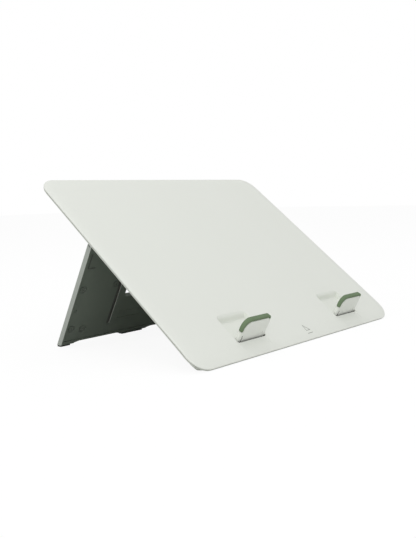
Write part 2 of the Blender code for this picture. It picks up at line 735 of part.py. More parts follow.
def leg_feet(leg, rubber):
    number = 0
    for side in (-1, 1):
        for near, far in LEG_FEET:
            number += 1
            bm = bmesh.new()
            reach = LEG_HALF - 0.3
            top = LEG_FOOT_RISE - GAP
            section = [(-reach, leg_level(0, -reach)), (reach, leg_level(0, reach)),
                       (reach, leg_level(top, reach)), (-reach, leg_level(top, -reach))]
            prism(bm, "X", section, *inward(side, near, far))
            made(f"leg_foot_{number}", bm, leg, rubber)


# ---------------------------------------------------------------- stops

def tab_back(z):
    """Distance of the stop's back face from its axis plane: it is a wedge, thicker at the top."""
    share = min(1.0, max(0.0, (z - TAB_BARREL) / (22.0 - TAB_BARREL)))
    return TAB_BACK_LOW + (TAB_BACK_HIGH - TAB_BACK_LOW) * share


def tab_section(top):
    """Side view of a stop as (y, z): a straight front, the barrel with its stop lug, and a sloping back."""
    points = [(TAB_BARREL, top), (TAB_BARREL, 0.0)]
    points += [(r[1], r[0]) for r in arc((0, 0), TAB_BARREL, 90, LUG_ANGLES[0], 6)[1:]]
    points += [(r[1], r[0]) for r in arc((0, 0), LUG_RADIUS, LUG_ANGLES[0], LUG_ANGLES[1], 3)]
    points += [(r[1], r[0]) for r in arc((0, 0), TAB_BARREL, LUG_ANGLES[1], 350, 6)]
    points += [(-tab_back(22.0), 22.0), (-tab_back(22.0), top)]
    return [(-y, z) for y, z in points]


def tab_outline(inset, left_low, right_low):
    """Front view of a stop's upper part: a wide curve at the left corner and a tight one at the right."""
    half = TAB_WIDTH / 2 - inset
    top = TAB_TOP - inset
    return rounded([(-half, left_low, 0), (half, right_low, 0), (half, top, TAB_CORNER_RIGHT - inset),
                    (-half, top, TAB_CORNER - inset)])


def stop_tab(name, frame, pale):
    core_inset = RUBBER_BAND + GAP
    half = TAB_WIDTH / 2
    bm = bmesh.new()
    prism(bm, "X", tab_section(TAB_TOP), -half, half)
    tab = made(f"stop_tab_{name}", bm, frame, pale)
    upper = tab_outline(core_inset, RUBBER_START - GAP, RUBBER_END - GAP)
    outline = [(-half, -8), (half, -8), (half, RUBBER_END - GAP)] + upper[1:] + [upper[0]]
    outline.append((-half, RUBBER_START - GAP))
    face = bmesh.new()
    prism(face, "Y", outline, -10, 10)
    shape("front_view", face, tab, "INTERSECT")
    bore = bmesh.new()
    rod(bore, "X", (0, 0), TAB_PIN + GAP, -half - 1, half + 1, 14)
    shape("pin_bore", bore, tab, "DIFFERENCE")
    slits = bmesh.new()
    for side in (-1, 1):
        low, high = sorted((side * (half - SLIT_IN), side * (half - SLIT_IN - SLIT_WIDTH)))
        box(slits, (low, -8, -8), (high, SLIT_DEEP - TAB_BARREL, SLIT_TOP))
    shape("slits", slits, tab, "DIFFERENCE")
    return tab


def tab_rubber(name, frame, green):
    """The soft edging: it runs from the left shoulder over the top to just past the right corner."""
    outer = tab_outline(0.0, RUBBER_START, RUBBER_END)
    inner = tab_outline(RUBBER_BAND, RUBBER_START, RUBBER_END)
    bm = bmesh.new()
    prism(bm, "Y", outer[1:] + [outer[0], inner[0]] + inner[:0:-1], -TAB_BARREL, 10)
    edging = made(f"tab_rubber_{name}", bm, frame, green)
    wedge = bmesh.new()
    prism(wedge, "X", [(-TAB_BARREL - 1, 5), (tab_back(5), 5), (tab_back(22), 22), (tab_back(22), 30),
                       (-TAB_BARREL - 1, 30)], -30, 30)
    shape("wedge", wedge, edging, "INTERSECT")
    return edging


def tab_hardware(name, board, centre, steel, brass):
    pin = bmesh.new()
    reach = POCKET_HALF + 1.0
    rod(pin, "X", (TAB_AXIS_Y, TAB_AXIS_Z), TAB_PIN, centre - reach, centre + reach, 12)
    made(f"tab_hinge_pin_{name}", pin, board, steel)
    ring = bmesh.new()
    low = centre + TAB_WIDTH / 2 + 0.25
    inner, outer, high = TAB_PIN + 0.25, TAB_BARREL - 0.2, low + 0.5
    turned(ring, [(inner, low), (outer, low), (outer, high), (inner, high)], closed=True, sides=16)
    washer = made(f"tab_friction_washer_{name}", ring, board, brass)
    washer.location = (0, TAB_AXIS_Y * MM, TAB_AXIS_Z * MM)
    washer.rotation_euler = (0, math.pi / 2, 0)


# ---------------------------------------------------------------- whole object

def clear_scene():
    for leftover in list(bpy.data.objects):
        bpy.data.objects.remove(leftover, do_unlink=True)


def stand_on_origin(root):
    """Moves the object so that the middle of its box's underside is the origin."""
    bpy.context.view_layer.update()
    graph = bpy.context.evaluated_depsgraph_get()
    corners = []
    for piece in bpy.data.objects:
        if piece.type == "MESH" and not piece.hide_render:
            solid = piece.evaluated_get(graph)
            corners += [solid.matrix_world @ vertex.co for vertex in solid.data.vertices]
    root.location.x -= (min(c.x for c in corners) + max(c.x for c in corners)) / 2
    root.location.y -= (min(c.y for c in corners) + max(c.y for c in corners)) / 2
    root.location.z -= min(c.z for c in corners)
    bpy.context.view_layer.update()


def build():
    clear_scene()
    pale = finish("pale_plastic", (0.73, 0.76, 0.70), 0.45)
    cover = finish("cover_plastic", (0.62, 0.65, 0.59), 0.5)
    leg_pale = finish("leg_plastic", (0.40, 0.43, 0.39), 0.5)
    leg_dark = finish("leg_panel_plastic", (0.075, 0.095, 0.07), 0.55)
    grey = finish("bracket_plastic", (0.12, 0.13, 0.12), 0.5)
    green = finish("green_rubber", (0.10, 0.18, 0.09), 0.75)
    black = finish("foot_rubber", (0.03, 0.032, 0.03), 0.85)
    steel = finish("steel", (0.56, 0.57, 0.58), 0.35, 1.0)
    brass = finish("washer_bronze", (0.55, 0.42, 0.22), 0.4, 1.0)

    board = empty("board", None, (0, 0, 0), TILT)
    leg = empty("leg_axis", board, (0, HINGE_Y, HINGE_Z), LEG_LEAN - TILT)
    top_shell(board, pale)
    bottom_cover(board, cover)
    front_feet(board, black)
    brackets(board, grey)
    leg_pins(board, steel, brass)
    leg_shell(leg, leg_pale)
    leg_panel(leg, leg_dark)
    leg_feet(leg, black)
    for number, (x, y) in enumerate(COVER_SCREWS, 1):
        screw(f"cover_screw_{number}", board, (x, y, 0), 0, LEG_FLOOR + 0.2, 1.2, -4.0, steel)
    foot_low = NOTCH_CEILING - GAP - BRACKET_FOOT
    for number, (x, y) in enumerate(bracket_screw_places(), 1):
        head_low = foot_low - GAP - 1.2
        screw(f"bracket_screw_{number}", board, (x, y, 0), 0, head_low, 1.2, COVER_TOP - 1.1, steel)
    for number, (x, z) in enumerate(leg_screw_places(), 1):
        head_low, tip = -LEG_HALF + 0.1, LEG_HALF - 1.6
        screw(f"leg_screw_{number}", leg, (x, 0, z), -math.pi / 2, head_low, 1.0, tip, steel)
    for name, centre in tab_centres().items():
        frame = empty(f"tab_axis_{name}", board, (centre, TAB_AXIS_Y, TAB_AXIS_Z), -TAB_LEAN)
        stop_tab(name, frame, pale)
        tab_rubber(name, frame, green)
        tab_hardware(name, board, centre, steel, brass)
    stand_on_origin(board)


build()
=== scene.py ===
# %% [markdown]
# # A portable drawing board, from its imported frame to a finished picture
#
# The frame holds the working model: every part at its true size, with its hinges. This lesson gives
# each part its finished surface. It works through the object the way a maker would lay it out on a
# bench: first the measures, then the writing surface, the tray below it, the folding leg, the two
# flip-up stops with their soft edging, the small hardware, and last the finishes, light and camera.

# %% Load the frame
import json
import math

import bmesh
import bpy
import numpy as np
from mathutils import Matrix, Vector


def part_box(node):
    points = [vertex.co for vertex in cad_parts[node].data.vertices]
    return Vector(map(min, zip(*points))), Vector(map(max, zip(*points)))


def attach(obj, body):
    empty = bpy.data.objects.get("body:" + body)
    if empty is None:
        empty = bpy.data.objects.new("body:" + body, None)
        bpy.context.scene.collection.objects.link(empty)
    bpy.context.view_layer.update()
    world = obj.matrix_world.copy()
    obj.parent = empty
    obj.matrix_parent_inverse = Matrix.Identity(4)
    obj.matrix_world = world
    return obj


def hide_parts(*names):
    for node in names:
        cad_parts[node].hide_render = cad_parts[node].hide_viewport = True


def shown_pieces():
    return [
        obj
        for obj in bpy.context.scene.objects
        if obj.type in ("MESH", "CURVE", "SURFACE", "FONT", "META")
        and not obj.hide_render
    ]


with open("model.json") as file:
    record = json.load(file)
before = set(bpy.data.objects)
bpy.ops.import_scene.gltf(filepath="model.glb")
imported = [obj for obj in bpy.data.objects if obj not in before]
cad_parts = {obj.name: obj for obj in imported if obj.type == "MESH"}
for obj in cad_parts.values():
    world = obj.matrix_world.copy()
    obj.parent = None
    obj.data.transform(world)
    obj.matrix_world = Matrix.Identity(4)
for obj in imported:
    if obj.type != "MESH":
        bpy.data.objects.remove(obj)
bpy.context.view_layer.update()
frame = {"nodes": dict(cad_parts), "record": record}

# %% [markdown]
# ## Measures
#
# A shape is easiest to write in the plane that it was designed in, so three local frames are used,
# in millimetres: the board's (x right, y up the slope, z square to the writing surface), the leg's
# and a stop's (both with their origin on the hinge axis, and z up along the part). All three are
# turned about x only, so one angle and one origin carry local points into the world.

# %% Where the three local frames stand
MM = 0.001
MOUNTS = {mount["name"]: mount for mount in frame["record"]["mounts"]}
JOINTS = {joint["name"]: joint for joint in frame["record"]["behaviour"]["joints"]}

SURFACE_MOUNT_UP = 150.0        # the writing surface's mount, up the slope from the front edge
normal = MOUNTS["writing_surface"]["axis"]
TILT = math.atan2(-normal[1], normal[2])


class Place:
    """A local frame: an origin in the world, and a turn about the x axis."""

    def __init__(self, origin, turn):
        self.origin = np.array(origin, float)
        self.turn = turn

    def world(self, points):
        """World metres of local millimetres: y' = y cos a - z sin a, z' = y sin a + z cos a, moved."""
        points = np.asarray(points, float) * MM
        c, s = math.cos(self.turn), math.sin(self.turn)
        x, y, z = points[..., 0], points[..., 1], points[..., 2]
        return np.stack([x, y * c - z * s, y * s + z * c], axis=-1) + self.origin

    def along(self, ways):
        """World directions in the local frame: turned back about x."""
        c, s = math.cos(self.turn), math.sin(self.turn)
        x, y, z = ways[..., 0], ways[..., 1], ways[..., 2]
        return np.stack([x, y * c + z * s, z * c - y * s], axis=-1)

    def local(self, points):
        """Local millimetres of world metres."""
        return self.along(points - self.origin) / MM


surface_point = np.array(MOUNTS["writing_surface"]["pos_m"])
up_slope = np.array([0.0, math.cos(TILT), math.sin(TILT)])
BOARD = Place(surface_point - SURFACE_MOUNT_UP * MM * up_slope, TILT)

leg_axis = JOINTS["leg_fold"]["pos_m"]
foot = MOUNTS["rear_rest"]["pos_m"]
LEG = Place(leg_axis, math.atan2(foot[1] - leg_axis[1], leg_axis[2]))

STOPS = {}
for side in ("left", "right"):
    hinge = JOINTS[f"stop_{side}_flip"]
    lean = math.radians(90 + hinge["range_deg"][0])
    STOPS[side] = Place(hinge["pos_m"], TILT - lean)
STOP_CENTRES = [place.origin[0] / MM for place in STOPS.values()]
print(f"board tilted {math.degrees(TILT):.1f} degrees, leg leaning {math.degrees(LEG.turn):.1f},"
      f" stops at x = {STOP_CENTRES[0]:.0f} and {STOP_CENTRES[1]:.0f} mm")

# %% [markdown]
# ## Helpers for surfaces
#
# A surface here is a grid of points worked out all at once with numpy. Neighbouring grid points make
# four-sided faces, and a grid that closes on itself makes a tube. Corners of rows are numbered once,
# as whole arrays, so no loop runs over the points.

# %% Grids, loops and meshes
def soft_step(x):
    """0 below 0, 1 above 1, and the smooth cubic 3x^2 - 2x^3 between."""
    x = np.clip(x, 0.0, 1.0)
    return x * x * (3 - 2 * x)


def ruled(low, high, coarse, fine, spans):
    """Grid lines from low to high: about `fine` apart within the spans, and `coarse` apart elsewhere."""
    marks = sorted({low, high} | {m for span in spans for m in span if low < m < high})
    lines = [np.array([low])]
    for start, end in zip(marks, marks[1:]):
        middle = (start + end) / 2
        pitch = fine if any(a < middle < b for a, b in spans) else coarse
        lines.append(np.linspace(start, end, max(1, round((end - start) / pitch)) + 1)[1:])
    return np.concatenate(lines)


def quads(numbers, closed=False):
    """Faces between the rows of a grid of point numbers; closed joins the last column to the first."""
    if closed:
        numbers = np.concatenate([numbers, numbers[:, :1]], axis=1)
    corners = [numbers[:-1, :-1], numbers[1:, :-1], numbers[1:, 1:], numbers[:-1, 1:]]
    return np.stack(corners, axis=-1).reshape(-1, 4)


def mesh_piece(name, points, faces, body, crease=40.0):
    """A mesh object from world points and lists of faces, riding on a body."""
    mesh = bpy.data.meshes.new(name)
    faces = [list(map(int, face)) for group in faces for face in group]
    mesh.from_pydata(np.asarray(points).reshape(-1, 3).tolist(), [], faces)
    mesh.shade_smooth()
    mesh.set_sharp_from_angle(angle=math.radians(crease))
    piece = bpy.data.objects.new(name, mesh)
    bpy.context.scene.collection.objects.link(piece)
    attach(piece, body)
    return piece


JOIN_WITHIN = 0.002             # corners of loose triangles that are this close are one corner
EASED_FROM = 28.0               # an edge is eased where its faces turn by more degrees than this


def eased_copy(node, name, body, slot, radius, segments=3):
    """A CAD solid with its loose triangles joined, and each sharp edge given a small radius.

    Weighted normals keep the big flat faces flat in the light, right up to the eased edges."""
    shape = bmesh.new()
    shape.from_mesh(frame["nodes"][node].data)
    bmesh.ops.remove_doubles(shape, verts=shape.verts, dist=JOIN_WITHIN * MM)
    bmesh.ops.dissolve_limit(shape, angle_limit=math.radians(0.5), verts=shape.verts, edges=shape.edges)
    mesh = bpy.data.meshes.new(name)
    shape.to_mesh(mesh)
    shape.free()
    mesh.shade_smooth()
    piece = bpy.data.objects.new(name, mesh)
    bpy.context.scene.collection.objects.link(piece)
    edges = piece.modifiers.new("eased_edges", "BEVEL")
    edges.width = radius * MM
    edges.segments = segments
    edges.limit_method = "ANGLE"
    edges.angle_limit = math.radians(EASED_FROM)
    normals = piece.modifiers.new("flat_faces", "WEIGHTED_NORMAL")
    normals.weight = 100
    normals.keep_sharp = True
    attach(piece, body)
    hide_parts(node)
    return piece


# %% [markdown]
# ## The writing surface
#
# The real top is one injection-moulded plate: flat where one writes, softly crowned along its border,
# rolled down at the front, with a pocket behind each stop for it to fold into and a finger scoop in
# front. A plate like this could be cut out with Booleans, but the soft edges of the pockets would be
# lost. Here the plate is a height over a grid, height = f(x, y), so each hollow fades in with a smooth
# step. The grid's corner squares are bent into quarter discs to follow the rounded outline.

# %% The plate's measures
low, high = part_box("top_shell")
WIDTH = (high[0] - low[0]) / MM
CORNER = 19.0
WALL = 2.0
POCKET_WALL = 1.2               # thickness under the pockets
RIM = 0.9
DEPTH = 270.0
BORDER = 11.0                   # the softly crowned border
BORDER_DROP = 0.75
ROLL_FROM = 28.0
ROLL_DROP = 1.6
HINGE_UP = 21.9                 # a stop's hinge axis, up the slope and below the surface
HINGE_DOWN = 2.6
TROUGH = 3.9                    # radius of the trough round the stop's barrel
WALL_NEAR = HINGE_UP - TROUGH - 0.3   # the trough's front wall starts here
WALL_RUN = 0.4                  # and falls over this run
POCKET_HALF = 21.0
POCKET_FAR = 52.9
POCKET_CORNER = 6.0
POCKET_SOFT = 1.4               # the pocket's side walls fall over this run
FLOOR_LINE = ((24.8, -3.35), (46.6, -5.55), (47.6, -4.9), (49.4, -1.9), (50.4, -1.0), (52.9, 0.0))
SCOOP_HALF = 20.0
SCOOP_FROM = 4.0
SCOOP_DEEP = 0.8
SCOOP_SOFT = 1.4                # its sides fade in over this run
print(f"the plate is {WIDTH:.0f} x {DEPTH:.0f} mm with corners of {CORNER:.0f} mm")


# %% The plate's height over the grid
def roll(y):
    """The front edge falls away as a parabola: drop x (1 - y / start)^2."""
    return ROLL_DROP * np.clip(1 - y / ROLL_FROM, 0, None) ** 2


def inside(x, y, half, near, far, corner):
    """Distance inward from a rectangle with rounded corners, worked out from the distance to its core."""
    across = np.abs(x) - (half - corner)
    along = np.abs(y - (near + far) / 2) - ((far - near) / 2 - corner)
    outside = np.hypot(np.clip(across, 0, None), np.clip(along, 0, None))
    return corner - outside - np.clip(np.maximum(across, along), None, 0)


def pocket_floor(y):
    """Round trough at the hinge, z = -sqrt(r^2 - y^2); then a straight falling floor and an end wall."""
    reach = np.clip(TROUGH ** 2 - (y - HINGE_UP) ** 2, 0, None)
    trough = -HINGE_DOWN - np.sqrt(reach)
    return np.where(y < FLOOR_LINE[0][0], trough, np.interp(y, *zip(*FLOOR_LINE)))


def plate_height(x, y):
    """Flat top, less the crowned border, the rolled front, and a pocket and a scoop at each stop."""
    border = BORDER_DROP * np.clip(1 - inside(x, y, WIDTH / 2, 0, DEPTH, CORNER) / BORDER, 0, 1) ** 2
    height = -roll(y) - border
    for centre in STOP_CENTRES:
        off = x - centre
        past_wall = soft_step((y - WALL_NEAR) / WALL_RUN)
        share = np.clip((y - SCOOP_FROM) / (HINGE_UP - TROUGH - SCOOP_FROM), 0, 1)
        scoop = SCOOP_DEEP * share ** 1.6 * soft_step((SCOOP_HALF + 0.5 - np.abs(off)) / SCOOP_SOFT)
        height = height - scoop * (1 - past_wall)
        room = inside(off, y, POCKET_HALF, 0, POCKET_FAR, POCKET_CORNER)
        pocket = soft_step((room + POCKET_SOFT / 2) / POCKET_SOFT) * past_wall
        height = height + (pocket_floor(y) - height) * pocket
    return height


# %% [markdown]
# ### Round corners and a closed rim
#
# A grid has square corners and no thickness. Bending each corner patch into a quarter disc keeps the
# faces four-sided right up to the outline, which a cut would not. The slab is then closed by rows of
# points that leave the top, turn over a small radius and come back under: the last rows step inward,
# which is the thin shadow line between the two mouldings.

# %% The grid, bent round the corners
def corner_bend(x, y, half, near, far, corner):
    """Bends a grid's square corner patches into quarter discs.

    Radius = corner x the larger of the two shares; angle = 45 degrees x their ratio."""
    a = (np.abs(x) - (half - corner)) / corner
    b = (np.abs(y - (near + far) / 2) - ((far - near) / 2 - corner)) / corner
    bent = (a > 0) & (b > 0)
    a, b = np.clip(a, 1e-9, None), np.clip(b, 1e-9, None)
    share = np.maximum(a, b)
    angle = np.where(a >= b, math.pi / 4 * b / a, math.pi / 2 - math.pi / 4 * a / b)
    new_x = np.sign(x) * (half - corner + corner * share * np.cos(angle))
    middle, reach = (near + far) / 2, (far - near) / 2 - corner
    new_y = middle + np.sign(y - middle) * (reach + corner * share * np.sin(angle))
    return np.where(bent, new_x, x), np.where(bent, new_y, y)


def boundary(numbers):
    """The point numbers round a grid's edge, anticlockwise from its first corner."""
    return np.concatenate([numbers[:-1, 0], numbers[-1, :-1], numbers[:0:-1, -1], numbers[0, :0:-1]])


def outward(x, y, half, near, far, corner):
    """Unit directions away from the core rectangle of a rounded outline."""
    dx = x - np.clip(x, -half + corner, half - corner)
    dy = y - np.clip(y, near + corner, far - corner)
    length = np.hypot(dx, dy)
    return dx / length, dy / length


def slab(x, y, top, under, offsets, drops, lifts, outline):
    """Points and faces of a closed slab: a top grid, rows carried round its rim, and an under grid.

    A rim row lies `offset` outside the grid's edge. It is `drop` below the top there, or, where `lift` is
    given instead, that far above the underside."""
    count = x.size
    numbers = np.arange(count).reshape(x.shape)
    ring = boundary(numbers)
    rx, ry, rt, ru = (values.ravel()[ring] for values in (x, y, top, under))
    nx, ny = outward(rx, ry, *outline)
    rows = []
    for offset, drop, lift in zip(offsets, drops, lifts):
        z = rt - drop if lift is None else ru + lift
        rows.append(np.stack([rx + nx * offset, ry + ny * offset, z], axis=-1))
    points = [np.stack([x, y, z], axis=-1).reshape(-1, 3) for z in (top, under)] + rows
    rim_numbers = 2 * count + np.arange(len(rows) * len(ring)).reshape(len(rows), -1)
    loops = [ring, *rim_numbers, ring + count]
    faces = [quads(numbers), quads(numbers + count)[:, ::-1], quads(np.array(loops), closed=True)]
    return np.concatenate(points), faces


# %% The top plate as a mesh
POCKET_SPANS = [tuple(sorted((c + s * 18.0, c + s * 24.0))) for c in STOP_CENTRES for s in (-1, 1)]
OUTLINE = (WIDTH / 2 - RIM, RIM, DEPTH - RIM, CORNER - RIM)
EDGE_BAND = 12.0                # the grid is finer this close to the outline
EDGE_SPANS = [(-WIDTH / 2, -WIDTH / 2 + EDGE_BAND), (WIDTH / 2 - EDGE_BAND, WIDTH / 2)]
FRONT_BAND = 56.0               # and over the stops' pockets
COARSE, EDGE_PITCH, SIDE_PITCH, FRONT_PITCH = 5.0, 1.5, 0.45, 0.5

x_limits = -WIDTH / 2 + RIM, WIDTH / 2 - RIM
x_lines = ruled(*x_limits, COARSE, SIDE_PITCH, POCKET_SPANS)
x_lines = np.union1d(x_lines, ruled(*x_limits, COARSE, EDGE_PITCH, EDGE_SPANS))
y_lines = ruled(RIM, DEPTH - RIM, COARSE, FRONT_PITCH, [(RIM, FRONT_BAND), (DEPTH - EDGE_BAND, DEPTH)])
y_lines = np.union1d(y_lines, HINGE_UP - TROUGH + np.linspace(-0.4, 0.2, 7))
grid_x, grid_y = corner_bend(*np.meshgrid(x_lines, y_lines, indexing="ij"), *OUTLINE)
top = plate_height(grid_x, grid_y)
under = np.minimum(-WALL - roll(grid_y), top - POCKET_WALL)
RIM_TURN = np.radians([22.5, 45.0, 67.5, 90.0])
PARTING = 0.5                   # the shadow groove above the tray's lip: its depth and height
rim_offsets = list(RIM * np.sin(RIM_TURN)) + [RIM, RIM - PARTING, RIM - PARTING]
rim_drops = list(RIM * (1 - np.cos(RIM_TURN))) + [None] * 3
rim_lifts = [None] * 4 + [PARTING, PARTING, 0.0]
points, faces = slab(grid_x, grid_y, top, under, rim_offsets, rim_drops, rim_lifts, OUTLINE)
board_top = mesh_piece("board_top", BOARD.world(points), faces, "board", crease=50.0)
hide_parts("top_shell")
print(f"board_top: {len(x_lines)} x {len(y_lines)} grid lines, deepest point {top.min():.1f} mm")

# %% [markdown]
# ## The tray, the leg and its lining
#
# The underside is a second moulding: a thin lip that closes against the top, and two hollow blocks
# that hold the leg between them when it is folded. The leg is a third, with a lining screwed into its
# hollow front. They could be drawn again, but their shapes in the frame are already right, with screw
# wells, hinge notches and recesses. What they lack is what every mould gives, edges that aren't sharp.
# So each copy's loose triangles are joined and its sharp edges get a radius that catches the light.

# %% Tray, leg and lining
tray = eased_copy("bottom_cover", "board_tray", "board", "cover_plastic", 0.3)
leg_frame = eased_copy("leg_shell", "leg_frame", "leg", "leg_plastic", 0.4)
lining = eased_copy("leg_inner_panel", "leg_lining", "leg", "leg_panel_plastic", 0.2, 2)
print("eased:", [piece.name for piece in (tray, leg_frame, lining)])

# %% [markdown]
# ## Lines on the surfaces
#
# A small printed sign on the front border, here a plain set square over a bar, a raised L on the
# leg's lining, darkened with painted shade, and along each rib a pale strip of painted highlight and a
# dark strip of painted shade are all made of straight strokes. A texture could draw them, but then they
# would have no edge of their own. A stroke is a thin closed bar: a flat profile carried along a line,
# with its points set on the surface below.

# %% Strokes
STROKE_STEPS = 7
LINING_FACE = -2.1              # the lining's front, before the leg's middle plane


def stroke_points(start, end, width, height, foot):
    """(u, v, rise) of a bar from start to end: its profile is a flat box from `foot` up to `height`."""
    start, end = np.array(start, float), np.array(end, float)
    way = (end - start) / np.linalg.norm(end - start)
    side = np.array([-way[1], way[0]]) * width / 2
    middle = start + (end - start) * np.linspace(0, 1, STROKE_STEPS)[:, None]
    flat = np.stack([middle + side, middle + side, middle - side, middle - side], axis=1)
    rise = np.tile([foot, height, height, foot], (STROKE_STEPS, 1))
    return np.concatenate([flat, rise[..., None]], axis=-1)


def stroke_faces(first):
    """The faces of one closed bar whose points are numbered from `first`."""
    numbers = first + np.arange(STROKE_STEPS * 4).reshape(-1, 4)
    return [quads(numbers, closed=True)[:, ::-1], [numbers[0]], [numbers[-1][::-1]]]


def strokes(name, lines, width, height, foot, settle, place, body):
    """A piece of strokes; `settle` turns (u, v, rise) into the local frame's x, y and z."""
    points = np.stack([stroke_points(*line, width, height, foot) for line in lines])
    faces = sum((stroke_faces(k * STROKE_STEPS * 4) for k in range(len(lines))), [])
    return mesh_piece(name, place.world(settle(points)), faces, body)


def on_plate(p):
    """On the writing surface: z is the plate's height plus the rise."""
    return np.stack([p[..., 0], p[..., 1], plate_height(p[..., 0], p[..., 1]) + p[..., 2]], axis=-1)


def on_lining(p):
    """On the leg's lining: the rise is towards the front."""
    return np.stack([p[..., 0], LINING_FACE - p[..., 2], p[..., 1]], axis=-1)


# %% The printed sign, the raised L, and the painted highlight and painted shade along each rib
SUNK = -0.3                     # a stroke starts this far inside the surface that it stands on
SIGN_AT = sum(STOP_CENTRES) / 2
SET_SQUARE = [((-3.2, 10.5), (3.6, 10.5)), ((3.3, 10.5), (-2.9, 17.6)), ((-2.9, 17.8), (-2.9, 10.5))]
BAR = [((-4.0, 6.8), (4.6, 6.8))]
sign = [tuple((SIGN_AT + u, v) for u, v in line) for line in SET_SQUARE + BAR]
strokes("border_sign", sign, 0.75, 0.05, SUNK, on_plate, BOARD, "board")

leg_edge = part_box("leg_shell")[0][0] / MM
RAISED_L = [((5.4, -9.0), (5.0, -25.0)), ((4.6, -25.0), (13.6, -25.0))]
raised = [tuple((leg_edge + u, v) for u, v in line) for line in RAISED_L]
# The L gets the near-black finish: its darkness is painted shade, standing for the shadow line along it.
strokes("lining_ridge", raised, 0.8, 0.45, SUNK, on_lining, LEG, "leg")

RIB_AT = 109.0                  # the outer edge of each rib, from the middle
RIB_LOW, RIB_HIGH = -97.8, -36.0


def rib_lines(outward_by):
    """One line along each of the two ribs, this far outside its outer edge."""
    places = (-(RIB_AT + outward_by), RIB_AT + outward_by)
    return [((at, RIB_LOW), (at, RIB_HIGH)) for at in places]


# A pale strip along each rib's edge, 0.12 mm proud of the rib: a painted highlight.
strokes("rib_highlights", rib_lines(-0.4), 0.8, 1.02, 0.0, on_lining, LEG, "leg")
# A dark strip just outside each rib: painted shade for the shadow there.
strokes("rib_shade_strips", rib_lines(1.5), 2.6, 0.04, SUNK, on_lining, LEG, "leg")
print("sign centred at x =", round(SIGN_AT, 1), "mm")

# %% [markdown]
# ## The flip-up stops
#
# Each stop is a small wedge-shaped flap on a round barrel, with a soft green edging pressed round its
# top and shoulders. The flap keeps the frame's shape, with eased edges. The edging could be a curve
# with a bevel, but such a bevel keeps one depth, and this one grows up the wedge. So a profile is
# carried along a path: the path is the arch of the flap's outline, and the profile is a rectangle with
# rounded corners whose depth follows the wedge.

# %% Flaps
flaps = {}
for side in STOPS:
    names = f"stop_tab_{side}", f"stop_flap_{side}", f"stop_{side}"
    flaps[side] = eased_copy(*names, "shell_plastic", 0.3)
print("flaps:", [flap.name for flap in flaps.values()])

# %% Soft edging
STOP_HALF = 20.0
STOP_TOP = 23.6
STOP_CORNERS = (11.0, 3.5)      # the upper left corner is wide, the right one tight
FACE = 2.6                      # front face to hinge axis
BAND = 2.6                      # width of the edging seen from the front
SHOULDERS = (11.0, 19.6)        # where the edging ends, left and right
NOSE_RISE = np.array([0.0, 0.2, 0.4])
NOSE_SIZE = np.array([0.55, 0.87, 1.0])
EDGING_RADIUS = 0.9
BACK_LOW, BACK_HIGH = 0.45, 2.4   # the back face behind the axis, at the barrel and high on the stop
BACK_FULL_AT = 22.0


def wedge_back(z):
    """Distance of a stop's back face behind its axis: it thickens evenly up the stop."""
    return BACK_LOW + (BACK_HIGH - BACK_LOW) * np.clip((z - FACE) / (BACK_FULL_AT - FACE), 0, 1)


def arch_arm(inset, which, steps=9):
    """(x, z) up one shoulder and round its corner to the top, and the outward direction there."""
    half, top_z, corner = STOP_HALF - inset, STOP_TOP - inset, STOP_CORNERS[which] - inset
    turn = np.linspace(math.pi, math.pi / 2, steps)
    spoke = np.stack([np.cos(turn), np.sin(turn)], axis=-1)
    bend = np.array([-half + corner, top_z - corner]) + corner * spoke
    nose = np.stack([np.full(3, -half), SHOULDERS[which] + NOSE_RISE], axis=-1)
    out = np.concatenate([np.tile([[-1.0, 0.0]], (3, 1)), spoke])
    mirror = np.array([1.0 - 2.0 * which, 1.0])
    return np.concatenate([nose, bend]) * mirror, out * mirror


def edging(side):
    """A rounded profile, (outward, depth), carried up one arm of the arch and down the other.

    Profile: the corners of a rectangle, each with a quarter circle. Both ends narrow to a round nose."""
    (rise, rise_out), (drop, drop_out) = arch_arm(BAND / 2, 0), arch_arm(BAND / 2, 1)
    path, out = np.concatenate([rise, drop[::-1]]), np.concatenate([rise_out, drop_out[::-1]])
    size = np.concatenate([NOSE_SIZE, np.ones(len(path) - 6), NOSE_SIZE[::-1]])[:, None]
    angle = np.linspace(0, 2 * math.pi, 24, endpoint=False)
    sx, sy = np.sign(np.cos(angle + 1e-6)), np.sign(np.sin(angle + 1e-6))
    back = wedge_back(path[:, 1])[:, None]
    radius = EDGING_RADIUS * size
    half_depth = (FACE + back) / 2 * size
    half_width = BAND / 2 * size
    away = sx * (half_width - radius) + radius * np.cos(angle)
    depth = sy * (half_depth - radius) + radius * np.sin(angle) + (back - FACE) / 2
    x = path[:, :1] + out[:, :1] * away
    z = path[:, 1:] + out[:, 1:] * away
    points = np.stack([x, depth, z], axis=-1)
    numbers = np.arange(points[..., 0].size).reshape(points.shape[:2])
    faces = [quads(numbers, closed=True)[:, ::-1], [numbers[0]], [numbers[-1][::-1]]]
    points = STOPS[side].world(points)
    piece = mesh_piece(f"stop_edging_{side}", points, faces, f"stop_{side}")
    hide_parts(f"tab_rubber_{side}")
    return piece


edgings = {side: edging(side) for side in STOPS}
print("edging points:", len(edgings["left"].data.vertices))

# %% [markdown]
# ## Screws
#
# The screws are pan-heads with a cross recess. A head could be spun from a profile and its cross cut
# with a Boolean, but the cut leaves slivers in the dome. So it is worked out on a polar grid: the
# height depends on the radius, and is lowered inside the cross by a soft step on each arm. Each screw
# is as long as the frame's solid, and has its own random turn, since no two stop at the same angle.

# %% A pan-head screw on a polar grid
HEAD = 3.0
SHANK = 1.25
CROSS_ARM = 0.42
CROSS_REACH = 1.75
CROSS_DEEP = 0.75
DOME = 0.35                     # how much of its height the head has lost at its edge
HEAD_RINGS = [0.0, 0.25, 0.4, 0.55, 0.8, 1.1, 1.4, 1.6, 1.75, 1.95, 2.3, 2.6, 2.85, HEAD, HEAD]
TIP = 0.8                       # length of the shank's taper


